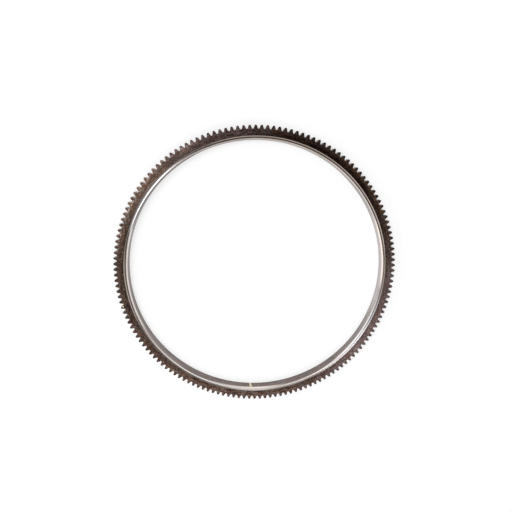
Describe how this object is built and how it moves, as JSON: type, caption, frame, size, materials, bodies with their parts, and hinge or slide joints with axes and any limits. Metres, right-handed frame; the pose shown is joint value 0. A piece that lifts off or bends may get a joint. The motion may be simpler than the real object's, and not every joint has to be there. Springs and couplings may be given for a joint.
{
  "type": "flywheel ring gear",
  "caption": "Flat steel ring with straight teeth all round its rim and a smooth turned bore, shrunk onto an engine's flywheel so that the starter's pinion can turn it.",
  "frame": {"origin": "on the ring's axis, at the level of the flat back face that it lies on", "axes": "+Z along the ring's axis, from the plain back face to the front face with the turned seat; +X through the middle of one tooth"},
  "size_m": [0.3323, 0.3324, 0.0125],
  "materials": {
    "forged_steel": "dark brown scaled steel, turned bright round the front of the bore and ground grey inside it"
  },
  "bodies": {
    "root": {"ring_gear": "forged_steel"}
  },
  "joints": []
}
